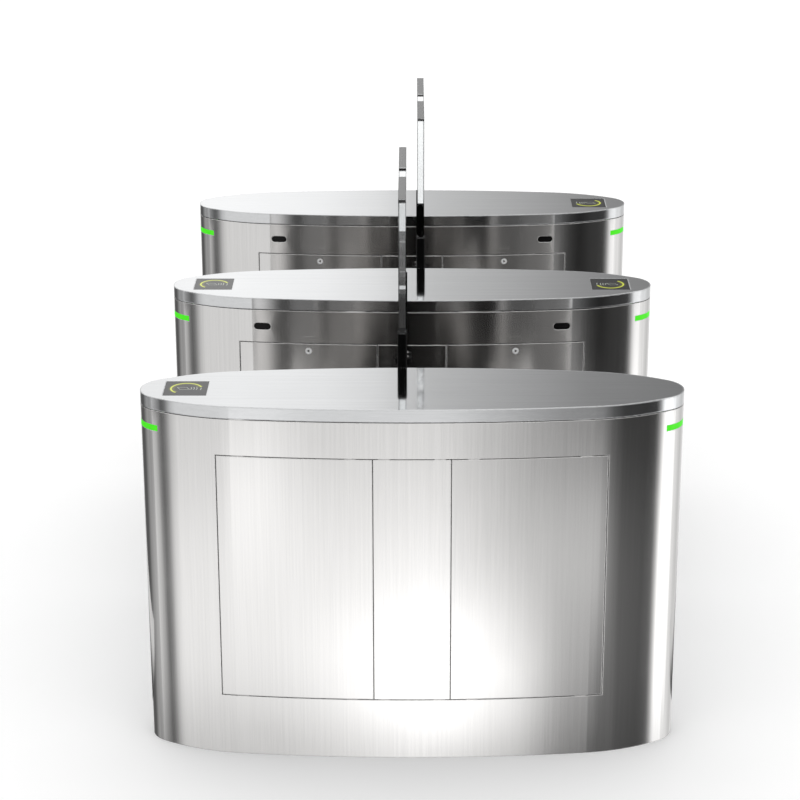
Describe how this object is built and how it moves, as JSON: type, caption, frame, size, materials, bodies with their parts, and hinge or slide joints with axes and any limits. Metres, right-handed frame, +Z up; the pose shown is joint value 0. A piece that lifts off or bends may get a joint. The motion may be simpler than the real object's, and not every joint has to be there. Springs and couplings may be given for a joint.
{
  "type": "swing turnstile",
  "caption": "Swing turnstile bank of polished oval pedestals whose walking lanes are closed by clear swinging wings, with card readers, light bars and beam sensors.",
  "frame": {"origin": "on the floor, at the centre of the middle pedestal, which is the middle of the bank", "axes": "+X along the walking lanes, to the right seen from the front pedestal's outer face; +Y across the lanes, from the front pedestal to the rear one; +Z up"},
  "size_m": [1.4, 2.155, 1.435],
  "materials": {
    "stainless": "fine hairline stainless sheet with a mirror-like polish",
    "stainless_top": "mirror-polished stainless sheet",
    "stainless_panel": "fine hairline stainless sheet with a mirror-like polish",
    "frame_steel": "grey primer on mild steel",
    "lock_chrome": "polished, with a dark three-sided key socket",
    "black_metal": "satin black coating",
    "clear_panel": "clear, with polished edges",
    "pulley_aluminium": "turned",
    "motor_metal": "semi-gloss black",
    "arm_metal": "satin black coating",
    "belt_rubber": "matt",
    "bearing_steel": "ground",
    "lamp_green": "translucent lens lit from within",
    "reader_plastic": "glossy dark grey with a light ring symbol",
    "sensor_black": "infrared-clear black",
    "controller_plastic": "moulded box",
    "supply_metal": "folded sheet with vents",
    "screw_steel": "zinc plated"
  },
  "bodies": {
    "bank": {"base_front": "frame_steel", "base_middle": "frame_steel", "base_rear": "frame_steel", "frame_front": "frame_steel", "frame_middle": "frame_steel", "frame_rear": "frame_steel", "shell_front": "stainless", "shell_middle": "stainless", "shell_rear": "stainless", "cover_front": "stainless_top", "cover_middle": "stainless_top", "cover_rear": "stainless_top", "gear_motor_front": "motor_metal", "gear_motor_middle_a": "motor_metal", "gear_motor_middle_b": "motor_metal", "gear_motor_rear": "motor_metal", "lower_arms": "arm_metal", "upper_arms": "arm_metal", "belts": "belt_rubber", "bearings": "bearing_steel", "lane_panels": "stainless_panel", "outer_panels": "stainless_panel", "light_bars": "lamp_green", "readers": "reader_plastic", "beam_sensors": "sensor_black", "controllers": "controller_plastic", "power_supplies": "supply_metal", "arm_screws": "screw_steel"},
    "wing_front": {"post_front": "black_metal", "wing_front": "clear_panel", "post_pulley_front": "pulley_aluminium"},
    "drive_front": {"drive_pulley_front": "pulley_aluminium"},
    "door_front_left": {"door_front_left": "stainless_panel"},
    "lock_front_left": {"lock_front_left": "lock_chrome"},
    "door_front_right": {"door_front_right": "stainless_panel"},
    "lock_front_right": {"lock_front_right": "lock_chrome"},
    "wing_middle_a": {"post_middle_a": "black_metal", "wing_middle_a": "clear_panel", "post_pulley_middle_a": "pulley_aluminium"},
    "drive_middle_a": {"drive_pulley_middle_a": "pulley_aluminium"},
    "door_middle_a_left": {"door_middle_a_left": "stainless_panel"},
    "lock_middle_a_left": {"lock_middle_a_left": "lock_chrome"},
    "door_middle_a_right": {"door_middle_a_right": "stainless_panel"},
    "lock_middle_a_right": {"lock_middle_a_right": "lock_chrome"},
    "wing_middle_b": {"post_middle_b": "black_metal", "wing_middle_b": "clear_panel", "post_pulley_middle_b": "pulley_aluminium"},
    "drive_middle_b": {"drive_pulley_middle_b": "pulley_aluminium"},
    "door_middle_b_left": {"door_middle_b_left": "stainless_panel"},
    "lock_middle_b_left": {"lock_middle_b_left": "lock_chrome"},
    "door_middle_b_right": {"door_middle_b_right": "stainless_panel"},
    "lock_middle_b_right": {"lock_middle_b_right": "lock_chrome"},
    "wing_rear": {"post_rear": "black_metal", "wing_rear": "clear_panel", "post_pulley_rear": "pulley_aluminium"},
    "drive_rear": {"drive_pulley_rear": "pulley_aluminium"},
    "door_rear_left": {"door_rear_left": "stainless_panel"},
    "lock_rear_left": {"lock_rear_left": "lock_chrome"},
    "door_rear_right": {"door_rear_right": "stainless_panel"},
    "lock_rear_right": {"lock_rear_right": "lock_chrome"}
  },
  "joints": [
    {"name": "wing_front_swing", "type": "hinge", "parent": "bank", "child": "wing_front", "pos_m": [-0.026, -0.7345, 0.24], "axis": [0, 0, 1], "range_deg": [-90, 90]},
    {"name": "drive_front_turn", "type": "hinge", "parent": "bank", "child": "drive_front", "pos_m": [-0.026, -0.8445, 0.24], "axis": [0, 0, 1], "range_deg": [-90, 90]},
    {"name": "door_front_left_tilt", "type": "hinge", "parent": "bank", "child": "door_front_left", "pos_m": [-0.3, -0.75379, 0.171], "axis": [1, 0, 0], "range_deg": [-20, 0]},
    {"name": "lock_front_left_turn", "type": "hinge", "parent": "door_front_left", "child": "lock_front_left", "pos_m": [-0.3, -0.76391, 0.824], "axis": [0, 1, 0], "range_deg": [0, 90]},
    {"name": "door_front_right_tilt", "type": "hinge", "parent": "bank", "child": "door_front_right", "pos_m": [0.3, -0.75379, 0.171], "axis": [-1, 0, 0], "range_deg": [0, 20]},
    {"name": "lock_front_right_turn", "type": "hinge", "parent": "door_front_right", "child": "lock_front_right", "pos_m": [0.3, -0.76391, 0.824], "axis": [0, -1, 0], "range_deg": [0, 90]},
    {"name": "wing_middle_a_swing", "type": "hinge", "parent": "bank", "child": "wing_middle_a", "pos_m": [-0.026, -0.1805, 0.24], "axis": [0, 0, 1], "range_deg": [-90, 90]},
    {"name": "drive_middle_a_turn", "type": "hinge", "parent": "bank", "child": "drive_middle_a", "pos_m": [-0.026, -0.0705, 0.24], "axis": [0, 0, 1], "range_deg": [-90, 90]},
    {"name": "door_middle_a_left_tilt", "type": "hinge", "parent": "bank", "child": "door_middle_a_left", "pos_m": [-0.3, -0.16121, 0.171], "axis": [-1, 0, 0], "range_deg": [-20, 0]},
    {"name": "lock_middle_a_left_turn", "type": "hinge", "parent": "door_middle_a_left", "child": "lock_middle_a_left", "pos_m": [-0.3, -0.15109, 0.824], "axis": [0, 1, 0], "range_deg": [0, 90]},
    {"name": "door_middle_a_right_tilt", "type": "hinge", "parent": "bank", "child": "door_middle_a_right", "pos_m": [0.3, -0.16121, 0.171], "axis": [1, 0, 0], "range_deg": [0, 20]},
    {"name": "lock_middle_a_right_turn", "type": "hinge", "parent": "door_middle_a_right", "child": "lock_middle_a_right", "pos_m": [0.3, -0.15109, 0.824], "axis": [0, -1, 0], "range_deg": [0, 90]},
    {"name": "wing_middle_b_swing", "type": "hinge", "parent": "bank", "child": "wing_middle_b", "pos_m": [0.026, 0.1805, 0.24], "axis": [0, 0, 1], "range_deg": [-90, 90]},
    {"name": "drive_middle_b_turn", "type": "hinge", "parent": "bank", "child": "drive_middle_b", "pos_m": [0.026, 0.0705, 0.24], "axis": [0, 0, 1], "range_deg": [-90, 90]},
    {"name": "door_middle_b_left_tilt", "type": "hinge", "parent": "bank", "child": "door_middle_b_left", "pos_m": [-0.3, 0.16121, 0.171], "axis": [1, 0, 0], "range_deg": [-20, 0]},
    {"name": "lock_middle_b_left_turn", "type": "hinge", "parent": "door_middle_b_left", "child": "lock_middle_b_left", "pos_m": [-0.3, 0.15109, 0.824], "axis": [0, 1, 0], "range_deg": [0, 90]},
    {"name": "door_middle_b_right_tilt", "type": "hinge", "parent": "bank", "child": "door_middle_b_right", "pos_m": [0.3, 0.16121, 0.171], "axis": [-1, 0, 0], "range_deg": [0, 20]},
    {"name": "lock_middle_b_right_turn", "type": "hinge", "parent": "door_middle_b_right", "child": "lock_middle_b_right", "pos_m": [0.3, 0.15109, 0.824], "axis": [0, -1, 0], "range_deg": [0, 90]},
    {"name": "wing_rear_swing", "type": "hinge", "parent": "bank", "child": "wing_rear", "pos_m": [0.026, 0.7345, 0.24], "axis": [0, 0, 1], "range_deg": [-90, 90]},
    {"name": "drive_rear_turn", "type": "hinge", "parent": "bank", "child": "drive_rear", "pos_m": [0.026, 0.8445, 0.24], "axis": [0, 0, 1], "range_deg": [-90, 90]},
    {"name": "door_rear_left_tilt", "type": "hinge", "parent": "bank", "child": "door_rear_left", "pos_m": [-0.3, 0.75379, 0.171], "axis": [-1, 0, 0], "range_deg": [-20, 0]},
    {"name": "lock_rear_left_turn", "type": "hinge", "parent": "door_rear_left", "child": "lock_rear_left", "pos_m": [-0.3, 0.76391, 0.824], "axis": [0, 1, 0], "range_deg": [0, 90]},
    {"name": "door_rear_right_tilt", "type": "hinge", "parent": "bank", "child": "door_rear_right", "pos_m": [0.3, 0.75379, 0.171], "axis": [1, 0, 0], "range_deg": [0, 20]},
    {"name": "lock_rear_right_turn", "type": "hinge", "parent": "door_rear_right", "child": "lock_rear_right", "pos_m": [0.3, 0.76391, 0.824], "axis": [0, -1, 0], "range_deg": [0, 90]}
  ],
  "couplings": [
    {"joint": "drive_front_turn", "follows": "wing_front_swing", "ratio": 1},
    {"joint": "wing_middle_a_swing", "follows": "wing_front_swing", "ratio": -1},
    {"joint": "drive_middle_a_turn", "follows": "wing_front_swing", "ratio": -1},
    {"joint": "drive_middle_b_turn", "follows": "wing_middle_b_swing", "ratio": 1},
    {"joint": "wing_rear_swing", "follows": "wing_middle_b_swing", "ratio": -1},
    {"joint": "drive_rear_turn", "follows": "wing_middle_b_swing", "ratio": -1}
  ]
}
